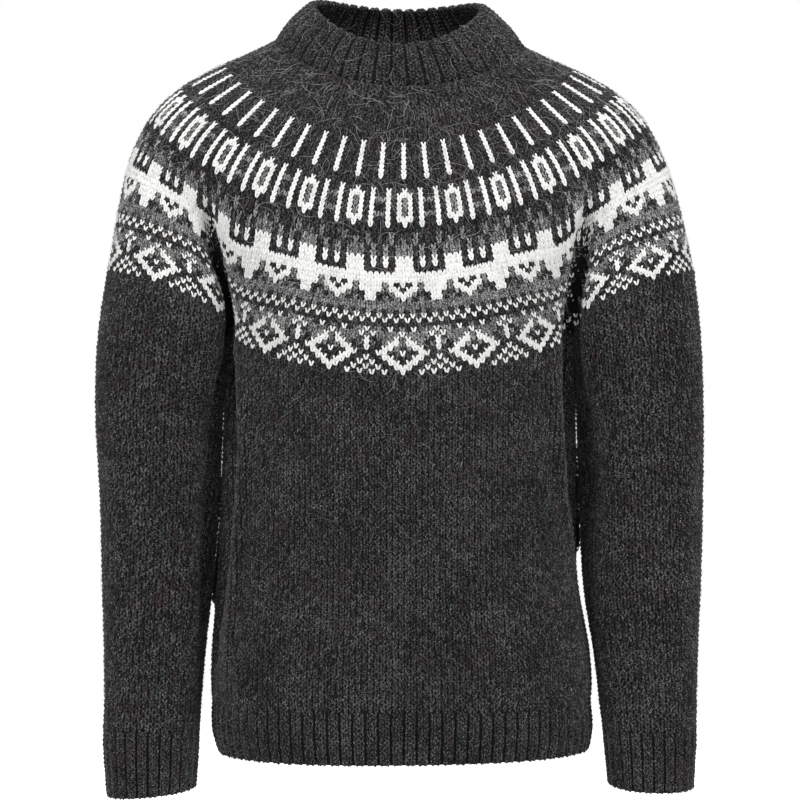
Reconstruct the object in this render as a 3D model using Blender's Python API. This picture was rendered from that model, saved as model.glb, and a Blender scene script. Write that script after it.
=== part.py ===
"""A round-yoke wool pullover with a folded neck, filled out as if it were worn.

Sizes are in millimetres until a mesh is made. The origin is at the base of the neck,
x runs to the picture's right, the front faces -y, and z points up. Heights below the
origin are given as positive "down" values.
"""

import math
from collections import namedtuple

import bmesh
import bpy
import numpy as np

MM = 0.001
CLOTH = 3.0                 # thickness of the knitted cloth
FOLDED_CLOTH = 6.0          # the collar is knitted double and folded to the inside
SEAM = 0.3                  # pieces stand this far apart at a seam
SLEEVE_CLEARANCE = 0.8      # between the hanging sleeve and the side of the body
UNDERARM_CLEARANCE = 0.3    # the same where sleeve and body are grafted together
UNDERARM_EASE = 16          # the first clearance grows out of the second over this height
SLEEVE_BEND = 7.0           # roundness of the sleeve where it comes to lie on the body

# Plan sections of the body: half widths to the left and right, depths to front and back.
Section = namedtuple("Section", "down left right front back")
BODY = (
    Section(200, 165, 160, 134, 130),
    Section(262, 167, 163, 135, 129),
    Section(323, 169, 163, 136, 126),
    Section(420, 172, 163, 135, 121),
    Section(504, 176, 166, 133, 121),
    Section(553, 180, 175, 133, 124),
    Section(590, 181, 178, 133, 127),
    Section(607, 180, 177, 133, 128),
    Section(636, 179, 178, 132, 128),
    Section(656, 173, 174, 130, 125),
)
BODY_SQUARENESS = 2.45      # 2 would be an ellipse

# Sleeve sections: distance of the middle from the centre plane, its place front to back,
# and half the width and depth.
Ring = namedtuple("Ring", "down across along width depth")
SLEEVE_LEFT = (
    Ring(190, 213, -11, 64, 69),
    Ring(262, 220, -17, 67, 72),
    Ring(323, 225.6, -14, 64.2, 68),
    Ring(420, 227.2, -12, 58.3, 62),
    Ring(505, 230.8, -15, 52.4, 55),
    Ring(555, 233, -19, 48.4, 51),
    Ring(611, 235, -27, 45.4, 47),
    Ring(631, 236, -30, 44.9, 46),
    Ring(677, 236, -36, 41.9, 43),
    Ring(695, 236, -38, 40.4, 41),
)
SLEEVE_RIGHT = (
    Ring(190, 210, -11, 63, 69),
    Ring(262, 214, -17, 66, 72),
    Ring(323, 219.6, -14, 63.2, 68),
    Ring(420, 223.2, -12, 59.3, 62),
    Ring(505, 224.7, -15, 55.4, 55),
    Ring(555, 227, -19, 50.4, 51),
    Ring(611, 230, -27, 45.4, 47),
    Ring(631, 231, -30, 43.9, 45),
    Ring(677, 232, -36, 39.8, 42),
    Ring(695, 232, -38, 38.8, 40),
)
SLEEVE_SQUARENESS = 2.3

# Where the body, the sleeves and the yoke meet.
YOKE_FRONT_DOWN = 300       # lower edge of the yoke at the centre of the front
YOKE_BACK_DOWN = 291
YOKE_SLEEVE_DOWN = 200      # and on the outer side of each sleeve
ARMPIT_DOWN = 258           # at the corners where all three meet
UNDERARM_SAG = 4            # the grafted underarm hangs a little lower
CORNER_LIFT = 2.4           # the yoke's tight fold stays this much clear of the corners
ARMPIT_FRONT = -46          # the corners, front to back
ARMPIT_BACK = 13
BODY_RISE = 1.8             # how late the yoke's lower edge rises towards the armpit
SLEEVE_RISE = 2.2           # how early it climbs the sleeve

# The neck opening and the collar's folded top edge, as tilted ovals.
Oval = namedtuple("Oval", "middle half_width front back left_z right_z front_z back_z")
NECK = Oval(-3, 118, -80, 88, 18, 12, -32, 15)
COLLAR_TOP = Oval(-5, 81, -67, 74, 55, 52, 8, 57)

# The fall of the yoke from the neck to its lower edge, in shares of the way out and down.
Fall = namedtuple("Fall", "share front_out front_down side_out side_down back_out back_down")
YOKE_FALL = (
    Fall(0.0, 0.0, 0.0, 0.0, 0.0, 0.0, 0.0),
    Fall(0.1, 0.19, 0.095, 0.158, 0.058, 0.24, 0.085),
    Fall(0.2, 0.36, 0.19, 0.33, 0.115, 0.45, 0.17),
    Fall(0.4, 0.64, 0.385, 0.632, 0.265, 0.82, 0.375),
    Fall(0.6, 0.83, 0.585, 0.815, 0.488, 1.02, 0.585),
    Fall(0.8, 0.95, 0.79, 0.92, 0.739, 1.05, 0.79),
    Fall(1.0, 1.0, 1.0, 1.0, 1.0, 1.0, 1.0),
)
SHOULDER_OVAL = Oval(-6, 283, -133, 128, -200, -200, -300, -291)
CREASE_START = 0.45         # share of the yoke at which the armhole creases begin

# Counts of facets. The same ones on both sides of a seam let the edges match.
FRONT_FACETS = 28           # from armpit to armpit across the front, and across the back
SHOULDER_FACETS = 24        # over the outside of a sleeve
UNDERARM_FACETS = 6
YOKE_ROWS = 9
BODY_ROWS = 9
SLEEVE_ROWS = 11
ARC_POINTS = 241            # a line that is measured along has this many points
ARC_LEVEL = 20              # facets are spaced evenly this far below or above the armpit

# Ribbing, one knit stitch and one purl stitch to a rib.
HEM_TOP_DOWN = 607
HEM_FRONT_DOWN = 654
HEM_BACK_DOWN = 646
HEM_LEAN = 1.5              # the hem hangs this much lower at the left
HEM_FLATNESS = 0.5          # below 1, the level of the front holds on towards the sides
CUFF_TOP_DOWN = 631
CUFF_DOWN = {-1: 689, 1: 683}           # lower edge of the left and right cuff
CUFF_OUTER_DROP = {-1: 4, 1: 1.5}       # it hangs this much lower on the outside
CUFF_FRONT_DROP = {-1: 2, 1: 4}
HEM_RIBS = 86
CUFF_RIBS = 26
COLLAR_RIBS = 44
RIB_HEIGHT = 2.2
COLLAR_RIB_HEIGHT = 2.6
HEM_LEVELS = (0, 0.12, 0.6, 1)          # shares of the way down at which a rib has points
CUFF_LEVELS = (0, 0.1, 0.5, 1)
COLLAR_LEVELS = (0, 0.25, 0.5, 0.75, 0.93)
COLLAR_SWELL = 3.0          # the collar bulges this much halfway up
INNER_RIB_SHARE = 0.6       # its ribs are lower inside than outside
TOP_SCALLOP = 0.4           # how much of a rib's height the fold waves up and down

# Colours of the yarns, as linear red, green and blue.
CHARCOAL = (0.045, 0.045, 0.048)
RIB_CHARCOAL = (0.05, 0.05, 0.053)
YOKE_GREY = (0.16, 0.16, 0.16)


def along_curve(knots, values, at):
    """Smooth line through the knots, read at one or more places."""
    knots = np.asarray(knots, float)
    values = np.asarray(values, float)
    slopes = np.gradient(values, knots)
    k = np.clip(np.searchsorted(knots, at) - 1, 0, len(knots) - 2)
    span = knots[k + 1] - knots[k]
    t = np.clip((at - knots[k]) / span, 0, 1)
    start = values[k] * (1 + 2 * t) + slopes[k] * span * t
    end = values[k + 1] * (3 - 2 * t) - slopes[k + 1] * span * (1 - t)
    return start * (1 - t) ** 2 + end * t ** 2


def read(table, column, at):
    """A named column of a table of sections, at any value of its first column."""
    knots = [row[0] for row in table]
    return along_curve(knots, [getattr(row, column) for row in table], at)


def eased(t):
    t = np.clip(t, 0, 1)
    return t * t * (3 - 2 * t)


def body_section(angle, down):
    """Outer surface of the body tube at a plan angle, as rows of x, y, z."""
    across, along = np.cos(angle), np.sin(angle)
    half_x = np.where(across > 0, read(BODY, "right", down), read(BODY, "left", down))
    half_y = np.where(along > 0, read(BODY, "back", down), read(BODY, "front", down))
    n = BODY_SQUARENESS
    reach = (np.abs(across / half_x) ** n + np.abs(along / half_y) ** n) ** (-1 / n)
    return np.stack([reach * across, reach * along, -down + 0 * reach], axis=-1)


def body_side_at(side, y, down):
    """Distance of the body's side from the centre plane, at a place front to back."""
    half_x = read(BODY, "right" if side > 0 else "left", down)
    half_y = np.where(y > 0, read(BODY, "back", down), read(BODY, "front", down))
    inside = np.clip(1 - np.abs(y / half_y) ** BODY_SQUARENESS, 0, 1)
    return half_x * inside ** (1 / BODY_SQUARENESS)


def sleeve_section(side, angle, down):
    """Outer surface of a sleeve. Angle 0 faces away from the body, -90 degrees the front.

    Where the sleeve hangs against the body it lies flat on it, just clear.
    """
    table = SLEEVE_RIGHT if side > 0 else SLEEVE_LEFT
    across, along = np.cos(angle), np.sin(angle)
    n = SLEEVE_SQUARENESS
    reach = (np.abs(across / read(table, "width", down)) ** n
             + np.abs(along / read(table, "depth", down)) ** n) ** (-1 / n)
    x = read(table, "across", down) + reach * across
    y = read(table, "along", down) + reach * along
    below = (down - ARMPIT_DOWN) / UNDERARM_EASE
    clearance = UNDERARM_CLEARANCE + (SLEEVE_CLEARANCE - UNDERARM_CLEARANCE) * eased(below)
    side_of_body = body_side_at(side, y, down) + clearance
    free = x - side_of_body
    x = side_of_body + (free + np.sqrt(free ** 2 + SLEEVE_BEND ** 2)) / 2
    return np.stack([side * x, y, -down + 0 * x], axis=-1)


def body_corner_angle(side, y):
    """Plan angle on the body of an armpit corner."""
    return math.atan2(y, side * float(body_side_at(side, y, ARMPIT_DOWN)))


def sleeve_corner_angle(side, y):
    """The same corner as an angle round the sleeve."""
    table = SLEEVE_RIGHT if side > 0 else SLEEVE_LEFT
    x = float(body_side_at(side, y, ARMPIT_DOWN)) - float(read(table, "across", ARMPIT_DOWN))
    return math.atan2(y - float(read(table, "along", ARMPIT_DOWN)), x)


def spread(points, count):
    """Shares that space a dense line of points evenly by length, ends included."""
    steps = np.linalg.norm(np.diff(points, axis=0), axis=1)
    length = np.concatenate([[0], np.cumsum(steps)]) / steps.sum()
    return np.interp(np.linspace(0, 1, count + 1), length, np.linspace(0, 1, len(points)))


def body_arc(start, end, count, down=ARMPIT_DOWN + ARC_LEVEL):
    """Angles on the body from start to end, evenly spaced by length at one level."""
    line = body_section(np.linspace(start, end, ARC_POINTS), down)
    return start + (end - start) * spread(line, count)


def sleeve_arc(side, start, end, count, down=ARMPIT_DOWN - ARC_LEVEL):
    line = sleeve_section(side, np.linspace(start, end, ARC_POINTS), down)
    return start + (end - start) * spread(line, count)


def body_edge_down(share, centre_down):
    """Fall of the yoke's edge over the front or back, share 0 to 1 from armpit to armpit."""
    from_centre = np.abs(2 * share - 1)
    return centre_down + (ARMPIT_DOWN - centre_down) * from_centre ** BODY_RISE


def sleeve_edge_down(share):
    """Fall of the yoke's edge over a sleeve, share 0 to 1 from armpit corner to corner."""
    from_corner = 1 - np.abs(2 * share - 1)
    rise = 1 - (1 - from_corner) ** SLEEVE_RISE
    return ARMPIT_DOWN + (YOKE_SLEEVE_DOWN - ARMPIT_DOWN) * rise


def underarm_down(share):
    return ARMPIT_DOWN + UNDERARM_SAG * np.sin(math.pi * share)


def hem_edge_down(angle):
    along = np.sin(angle)
    reach = np.sign(along) * np.abs(along) ** HEM_FLATNESS
    middle = (HEM_FRONT_DOWN + HEM_BACK_DOWN) / 2
    return (middle - (HEM_FRONT_DOWN - HEM_BACK_DOWN) / 2 * reach
            + HEM_LEAN * (1 - np.cos(angle)))


def cuff_edge_down(side, angle):
    return (CUFF_DOWN[side] + CUFF_OUTER_DROP[side] * np.cos(angle)
            - CUFF_FRONT_DROP[side] * np.sin(angle))


def front_angles():
    """From the left armpit's front corner to the right one's, past the front centre."""
    left = body_corner_angle(-1, ARMPIT_FRONT)
    right = body_corner_angle(1, ARMPIT_FRONT)
    return body_arc(left, right, FRONT_FACETS)


def back_angles():
    right = body_corner_angle(1, ARMPIT_BACK)
    left = body_corner_angle(-1, ARMPIT_BACK)
    return body_arc(right, left, FRONT_FACETS)


def shoulder_angles(side):
    """Over the outside of a sleeve, from the front corner to the back corner."""
    front = sleeve_corner_angle(side, ARMPIT_FRONT)
    back = sleeve_corner_angle(side, ARMPIT_BACK)
    return sleeve_arc(side, front, back, SHOULDER_FACETS)


def shares(count):
    return np.linspace(0, 1, count + 1)


def corner(side, y, raised):
    """The one point that an armpit corner has on the yoke, between body and sleeve."""
    x = body_side_at(side, y, ARMPIT_DOWN) + UNDERARM_CLEARANCE / 2
    return np.array([[side * float(x), y, raised + CORNER_LIFT - ARMPIT_DOWN]])


def yoke_edge(raised=SEAM):
    """Lower edge of the yoke, anticlockwise from the left armpit's front corner."""
    front_share = shares(FRONT_FACETS)[1:-1]
    front = body_section(front_angles()[1:-1], body_edge_down(front_share, YOKE_FRONT_DOWN))
    back = body_section(back_angles()[1:-1], body_edge_down(front_share, YOKE_BACK_DOWN))
    over_share = shares(SHOULDER_FACETS)[1:-1]
    right = sleeve_section(1, shoulder_angles(1)[1:-1], sleeve_edge_down(over_share))
    left = sleeve_section(-1, shoulder_angles(-1)[1:-1][::-1], sleeve_edge_down(over_share))
    for line in (front, right, back, left):
        line[:, 2] += raised
    return np.concatenate([
        corner(-1, ARMPIT_FRONT, raised), front, corner(1, ARMPIT_FRONT, raised), right,
        corner(1, ARMPIT_BACK, raised), back, corner(-1, ARMPIT_BACK, raised), left])


def oval(shape, angle):
    """A tilted oval, as the neck opening and the top of the collar are."""
    across, along = np.cos(angle), np.sin(angle)
    middle_y = (shape.front + shape.back) / 2
    half_depth = (shape.back - shape.front) / 2
    tilt = (shape.back_z - shape.front_z) / 2
    lean = (shape.right_z - shape.left_z) / 2
    middle_z = (shape.back_z + shape.front_z) / 2
    side_z = (shape.left_z + shape.right_z) / 2
    saddle = (side_z - middle_z) / 2 * np.cos(2 * angle)
    height = (middle_z + side_z) / 2 + tilt * along + lean * across + saddle
    return np.stack([shape.middle + shape.half_width * across,
                     middle_y + half_depth * along, height], axis=-1)


def yoke_turns():
    """Plan angle of each column of the yoke, by its share of the way round the ring."""
    edge = yoke_edge()
    closed = np.concatenate([edge, edge[:1]])
    length = np.concatenate([[0], np.cumsum(np.linalg.norm(np.diff(closed, axis=0), axis=1))])
    front_centre = length[FRONT_FACETS // 2]
    right_middle = length[FRONT_FACETS + SHOULDER_FACETS // 2]
    back_centre = length[FRONT_FACETS + SHOULDER_FACETS + FRONT_FACETS // 2]
    left_middle = length[2 * FRONT_FACETS + SHOULDER_FACETS + SHOULDER_FACETS // 2]
    total = length[-1]
    knots = [left_middle - total, front_centre, right_middle, back_centre, left_middle,
             front_centre + total]
    quarters = [-1.0, -0.5, 0.0, 0.5, 1.0, 1.5]
    return math.pi * np.interp(length[:-1], knots, quarters)


def yoke_row(share, edge, turns):
    """One level of the yoke, share 0 at the neck and 1 at its lower edge."""
    neck = oval(NECK, turns)
    crease = eased((share - CREASE_START) / (1 - CREASE_START))
    goal = oval(SHOULDER_OVAL, turns) * (1 - crease) + edge * crease
    side = np.cos(turns) ** 2
    back = np.sin(turns) > 0
    out = side * read(YOKE_FALL, "side_out", share) + (1 - side) * np.where(
        back, read(YOKE_FALL, "back_out", share), read(YOKE_FALL, "front_out", share))
    down = side * read(YOKE_FALL, "side_down", share) + (1 - side) * np.where(
        back, read(YOKE_FALL, "back_down", share), read(YOKE_FALL, "front_down", share))
    plan = neck[:, :2] + (goal[:, :2] - neck[:, :2]) * out[:, None]
    height = neck[:, 2] + (goal[:, 2] - neck[:, 2]) * down
    return np.concatenate([plan, height[:, None]], axis=1)


def normals(grid):
    """Outward normals of a tube given as rows of points, top row first."""
    around = np.roll(grid, -1, axis=1) - np.roll(grid, 1, axis=1)
    upwards = -np.gradient(grid, axis=0)
    normal = np.cross(around, upwards)
    return normal / np.linalg.norm(normal, axis=2, keepdims=True)


def level_normals(row):
    """Outward normals of a ring in plan, so that two rings at a seam get the same ones."""
    around = np.roll(row, -1, axis=0) - np.roll(row, 1, axis=0)
    normal = np.stack([around[:, 1], -around[:, 0], 0 * around[:, 0]], axis=1)
    return normal / np.linalg.norm(normal, axis=1, keepdims=True)


def inner_face(grid, thickness, top_level=True):
    """The inside of a wall. Its edges go straight in, so that they match across a seam."""
    normal = normals(grid)
    for row in ([0, -1] if top_level else [-1]):
        normal[row] = level_normals(grid[row])
    return grid - thickness * normal


def cloth_material(name, colour):
    material = bpy.data.materials.new(name)
    material.use_nodes = True
    shader = material.node_tree.nodes["Principled BSDF"]
    shader.inputs["Base Color"].default_value = (*colour, 1)
    shader.inputs["Roughness"].default_value = 0.95
    shader.inputs["Metallic"].default_value = 0.0
    return material


def next_ring(bm, ring, edges, points):
    """Extrudes a ring of edges to new points, which follow the ring's own order."""
    made = bmesh.ops.extrude_edge_only(bm, edges=edges)["geom"]
    new_verts = {item for item in made if isinstance(item, bmesh.types.BMVert)}
    new_edges = [item for item in made if isinstance(item, bmesh.types.BMEdge)]
    ring = [next(edge.other_vert(vert) for edge in vert.link_edges
                 if edge.other_vert(vert) in new_verts) for vert in ring]
    for vert, point in zip(ring, points):
        vert.co = point * MM
    return ring, new_edges


def closed_wall(name, outer, inner, colour):
    """Outer rings from the top down and inner rings back up, joined into one closed wall."""
    rings = list(outer) + list(inner[::-1])
    bm = bmesh.new()
    ring = [bm.verts.new(point * MM) for point in rings[0]]
    first = [bm.edges.new(pair) for pair in zip(ring, ring[1:] + ring[:1])]
    last = first
    for points in rings[1:]:
        ring, last = next_ring(bm, ring, last, points)
    bmesh.ops.bridge_loops(bm, edges=first + last)
    bmesh.ops.recalc_face_normals(bm, faces=bm.faces)
    bmesh.ops.triangulate(bm, faces=bm.faces)
    mesh = bpy.data.meshes.new(name)
    bm.to_mesh(mesh)
    bm.free()
    mesh.shade_smooth()
    mesh.set_sharp_from_angle(angle=math.radians(60))
    mesh.materials.append(cloth_material(name + "_wool", colour))
    piece = bpy.data.objects.new(name, mesh)
    bpy.context.collection.objects.link(piece)
    piece.parent = garment
    return piece


def build_yoke():
    edge = yoke_edge()
    turns = yoke_turns()
    grid = np.stack([yoke_row(s, edge, turns) for s in shares(YOKE_ROWS)])
    closed_wall("yoke", grid, inner_face(grid, CLOTH, top_level=False), YOKE_GREY)


def build_body():
    front_share = shares(FRONT_FACETS)
    under_share = shares(UNDERARM_FACETS)[1:-1]
    front, back = front_angles(), back_angles()
    right_side = np.linspace(front[-1], back[0], UNDERARM_FACETS + 1)[1:-1]
    left_side = np.linspace(back[-1], front[0] + 2 * math.pi, UNDERARM_FACETS + 1)[1:-1]
    angles = np.concatenate([front, right_side, back, left_side])
    top = np.concatenate([
        body_edge_down(front_share, YOKE_FRONT_DOWN), underarm_down(under_share),
        body_edge_down(front_share, YOKE_BACK_DOWN), underarm_down(under_share)])
    rows = [top + (HEM_TOP_DOWN - top) * s for s in shares(BODY_ROWS)]
    grid = np.stack([body_section(angles, down) for down in rows])
    closed_wall("body", grid, inner_face(grid, CLOTH), CHARCOAL)


def build_sleeve(side, name):
    outer = shoulder_angles(side)
    under = np.linspace(outer[-1], outer[0] + 2 * math.pi, UNDERARM_FACETS + 1)[1:-1]
    angles = np.concatenate([outer, under])
    top = np.concatenate([sleeve_edge_down(shares(SHOULDER_FACETS)),
                          underarm_down(shares(UNDERARM_FACETS)[1:-1])])
    rows = [top + (CUFF_TOP_DOWN - top) * s for s in shares(SLEEVE_ROWS)]
    grid = np.stack([sleeve_section(side, angles, down) for down in rows])
    if side < 0:
        grid = grid[:, ::-1]
    closed_wall(name, grid, inner_face(grid, CLOTH), CHARCOAL)


def ribbed(grid, height):
    """Every other column stands proud, the ones between lie back."""
    lift = np.where(np.arange(grid.shape[1]) % 2 == 0, 0.5, -0.5) * height
    return grid + normals(grid) * lift[None, :, None]


def build_hem():
    angles = body_arc(0, 2 * math.pi, 2 * HEM_RIBS, HEM_TOP_DOWN)[:-1]
    top = HEM_TOP_DOWN + SEAM
    bottom = hem_edge_down(angles)
    rows = [top + (bottom - top) * s for s in HEM_LEVELS]
    grid = np.stack([body_section(angles, down) for down in rows])
    outer = ribbed(grid, RIB_HEIGHT)
    inner = inner_face(grid, CLOTH)[[0, -1]]
    closed_wall("hem_rib", outer, inner, RIB_CHARCOAL)


def build_cuff(side, name):
    angles = sleeve_arc(side, 0, 2 * math.pi, 2 * CUFF_RIBS, CUFF_TOP_DOWN)[:-1]
    top = CUFF_TOP_DOWN + SEAM
    bottom = cuff_edge_down(side, angles)
    rows = [top + (bottom - top) * s for s in CUFF_LEVELS]
    grid = np.stack([sleeve_section(side, angles, down) for down in rows])
    if side < 0:
        grid = grid[:, ::-1]
    outer = ribbed(grid, RIB_HEIGHT)
    inner = inner_face(grid, CLOTH)[[0, -1]]
    closed_wall(name, outer, inner, RIB_CHARCOAL)


def build_collar():
    """A double collar: it rises from the neck seam, rolls over and returns inside."""
    angles = np.linspace(0, 2 * math.pi, 2 * COLLAR_RIBS, endpoint=False)
    base = oval(NECK, angles) + (0, 0, SEAM)
    top = oval(COLLAR_TOP, angles)
    levels = np.array(COLLAR_LEVELS[::-1])
    grid = base + (top - base) * levels[:, None, None]
    normal = normals(grid)
    grid = grid + normal * (COLLAR_SWELL * np.sin(math.pi * levels))[:, None, None]
    outer = ribbed(grid, COLLAR_RIB_HEIGHT)
    plain = inner_face(grid, FOLDED_CLOTH, top_level=False)
    inner = ribbed(plain, -COLLAR_RIB_HEIGHT * INNER_RIB_SHARE)
    inner[-1] = plain[-1]
    fold = top - FOLDED_CLOTH / 2 * normal[0]
    fold[:, 2] += np.where(np.arange(len(angles)) % 2 == 0, 1, -1) * TOP_SCALLOP * COLLAR_RIB_HEIGHT
    outer = np.concatenate([fold[None], outer])
    closed_wall("collar", outer, inner, RIB_CHARCOAL)


for old in list(bpy.data.objects):
    bpy.data.objects.remove(old)

garment = bpy.data.objects.new("pullover", None)
bpy.context.collection.objects.link(garment)

build_yoke()
build_body()
build_sleeve(-1, "sleeve_left")
build_sleeve(1, "sleeve_right")
build_collar()
build_hem()
build_cuff(-1, "cuff_left")
build_cuff(1, "cuff_right")
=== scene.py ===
"""The looks of a round-yoke wool pullover: its knitted stitches, ribs, stray hairs and finish.

The frame gives the solids in metres. The surfaces here are worked out in millimetres by the
same sections as the solids, with the origin at the base of the neck, the front at -y, and
heights below the origin as positive "down" values.
"""

import math
from collections import namedtuple

import bmesh
import bpy
import numpy as np
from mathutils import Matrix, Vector
from mathutils.kdtree import KDTree


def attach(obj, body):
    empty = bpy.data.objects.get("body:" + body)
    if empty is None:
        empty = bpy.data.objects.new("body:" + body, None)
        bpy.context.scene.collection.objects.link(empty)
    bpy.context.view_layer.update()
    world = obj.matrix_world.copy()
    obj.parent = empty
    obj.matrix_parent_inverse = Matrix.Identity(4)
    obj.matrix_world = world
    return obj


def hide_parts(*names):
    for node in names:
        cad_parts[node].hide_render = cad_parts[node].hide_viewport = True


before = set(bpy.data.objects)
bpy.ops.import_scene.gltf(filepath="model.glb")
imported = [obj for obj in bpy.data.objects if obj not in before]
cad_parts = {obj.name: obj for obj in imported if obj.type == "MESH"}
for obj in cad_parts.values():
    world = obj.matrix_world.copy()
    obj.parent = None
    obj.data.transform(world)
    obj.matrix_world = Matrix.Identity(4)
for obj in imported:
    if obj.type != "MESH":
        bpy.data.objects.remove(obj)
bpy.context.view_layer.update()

MM = 0.001
CLOTH = 3.0
FOLDED_CLOTH = 6.0
SLEEVE_CLEARANCE = 0.8
UNDERARM_CLEARANCE = 0.3
UNDERARM_EASE = 16
SLEEVE_BEND = 7.0

# Plan sections of the body: half widths to the left and right, depths to front and back.
Section = namedtuple("Section", "down left right front back")
BODY = (
    Section(200, 165, 160, 134, 130),
    Section(262, 167, 163, 135, 129),
    Section(323, 169, 163, 136, 126),
    Section(420, 172, 163, 135, 121),
    Section(504, 176, 166, 133, 121),
    Section(553, 180, 175, 133, 124),
    Section(590, 181, 178, 133, 127),
    Section(607, 180, 177, 133, 128),
    Section(636, 179, 178, 132, 128),
    Section(656, 173, 174, 130, 125),
)
BODY_SQUARENESS = 2.45

# Sleeve sections: distance of the middle from the centre plane, its place front to back,
# and half the width and depth.
Ring = namedtuple("Ring", "down across along width depth")
SLEEVE_LEFT = (
    Ring(190, 213, -11, 64, 69),
    Ring(262, 220, -17, 67, 72),
    Ring(323, 225.6, -14, 64.2, 68),
    Ring(420, 227.2, -12, 58.3, 62),
    Ring(505, 230.8, -15, 52.4, 55),
    Ring(555, 233, -19, 48.4, 51),
    Ring(611, 235, -27, 45.4, 47),
    Ring(631, 236, -30, 44.9, 46),
    Ring(677, 236, -36, 41.9, 43),
    Ring(695, 236, -38, 40.4, 41),
)
SLEEVE_RIGHT = (
    Ring(190, 210, -11, 63, 69),
    Ring(262, 214, -17, 66, 72),
    Ring(323, 219.6, -14, 63.2, 68),
    Ring(420, 223.2, -12, 59.3, 62),
    Ring(505, 224.7, -15, 55.4, 55),
    Ring(555, 227, -19, 50.4, 51),
    Ring(611, 230, -27, 45.4, 47),
    Ring(631, 231, -30, 43.9, 45),
    Ring(677, 232, -36, 39.8, 42),
    Ring(695, 232, -38, 38.8, 40),
)
SLEEVE_SQUARENESS = 2.3

# Where the body, the sleeves and the yoke meet.
YOKE_FRONT_DOWN = 300
YOKE_BACK_DOWN = 291
YOKE_SLEEVE_DOWN = 200
ARMPIT_DOWN = 258
UNDERARM_SAG = 4
ARMPIT_FRONT = -46
ARMPIT_BACK = 13
BODY_RISE = 1.8
SLEEVE_RISE = 2.2

# The neck opening and the collar's folded top edge, as tilted ovals.
Oval = namedtuple("Oval", "middle half_width front back left_z right_z front_z back_z")
NECK = Oval(-3, 118, -80, 88, 18, 12, -32, 15)
COLLAR_TOP = Oval(-5, 81, -67, 74, 55, 52, 8, 57)

# The fall of the yoke from the neck to its lower edge, in shares of the way out and down.
Fall = namedtuple("Fall", "share front_out front_down side_out side_down back_out back_down")
YOKE_FALL = (
    Fall(0.0, 0.0, 0.0, 0.0, 0.0, 0.0, 0.0),
    Fall(0.1, 0.19, 0.095, 0.158, 0.058, 0.24, 0.085),
    Fall(0.2, 0.36, 0.19, 0.33, 0.115, 0.45, 0.17),
    Fall(0.4, 0.64, 0.385, 0.632, 0.265, 0.82, 0.375),
    Fall(0.6, 0.83, 0.585, 0.815, 0.488, 1.02, 0.585),
    Fall(0.8, 0.95, 0.79, 0.92, 0.739, 1.05, 0.79),
    Fall(1.0, 1.0, 1.0, 1.0, 1.0, 1.0, 1.0),
)
SHOULDER_OVAL = Oval(-6, 283, -133, 128, -200, -200, -300, -291)
CREASE_START = 0.45

SIDES = ((-1, "left"), (1, "right"))

# Points round a ring, many enough to look smooth.
FRONT_FACETS = 168
SHOULDER_FACETS = 144
UNDERARM_FACETS = 36
ARC_POINTS = 481
ARC_LEVEL = 20

# Ribbing.
HEM_TOP_DOWN = 607
HEM_FRONT_DOWN = 654
HEM_BACK_DOWN = 646
HEM_LEAN = 1.5
HEM_FLATNESS = 0.5
CUFF_TOP_DOWN = 631
CUFF_DOWN = {-1: 689, 1: 683}
CUFF_OUTER_DROP = {-1: 4, 1: 1.5}
CUFF_FRONT_DROP = {-1: 2, 1: 4}
HEM_RIBS = 86
CUFF_RIBS = 26
COLLAR_RIBS = 44
RIB_HEIGHT = 2.2
COLLAR_RIB_HEIGHT = 2.6
COLLAR_SWELL = 3.0


def along_curve(knots, values, at):
    """Smooth line through the knots, read at one or more places."""
    knots = np.asarray(knots, float)
    values = np.asarray(values, float)
    slopes = np.gradient(values, knots)
    k = np.clip(np.searchsorted(knots, at) - 1, 0, len(knots) - 2)
    span = knots[k + 1] - knots[k]
    t = np.clip((at - knots[k]) / span, 0, 1)
    start = values[k] * (1 + 2 * t) + slopes[k] * span * t
    end = values[k + 1] * (3 - 2 * t) - slopes[k + 1] * span * (1 - t)
    return start * (1 - t) ** 2 + end * t ** 2


def read(table, column, at):
    """A named column of a table of sections, at any value of its first column."""
    knots = [row[0] for row in table]
    return along_curve(knots, [getattr(row, column) for row in table], at)


def eased(t):
    t = np.clip(t, 0, 1)
    return t * t * (3 - 2 * t)


def unit(vectors):
    return vectors / np.linalg.norm(vectors, axis=-1, keepdims=True)


def body_section(angle, down):
    """Outer surface of the body tube at a plan angle, as rows of x, y, z."""
    across, along = np.cos(angle), np.sin(angle)
    half_x = np.where(across > 0, read(BODY, "right", down), read(BODY, "left", down))
    half_y = np.where(along > 0, read(BODY, "back", down), read(BODY, "front", down))
    n = BODY_SQUARENESS
    reach = (np.abs(across / half_x) ** n + np.abs(along / half_y) ** n) ** (-1 / n)
    return np.stack([reach * across, reach * along, -down + 0 * reach], axis=-1)


def body_side_at(side, y, down):
    """Distance of the body's side from the centre plane, at a place front to back."""
    half_x = read(BODY, "right" if side > 0 else "left", down)
    half_y = np.where(y > 0, read(BODY, "back", down), read(BODY, "front", down))
    inside = np.clip(1 - np.abs(y / half_y) ** BODY_SQUARENESS, 0, 1)
    return half_x * inside ** (1 / BODY_SQUARENESS)


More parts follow.
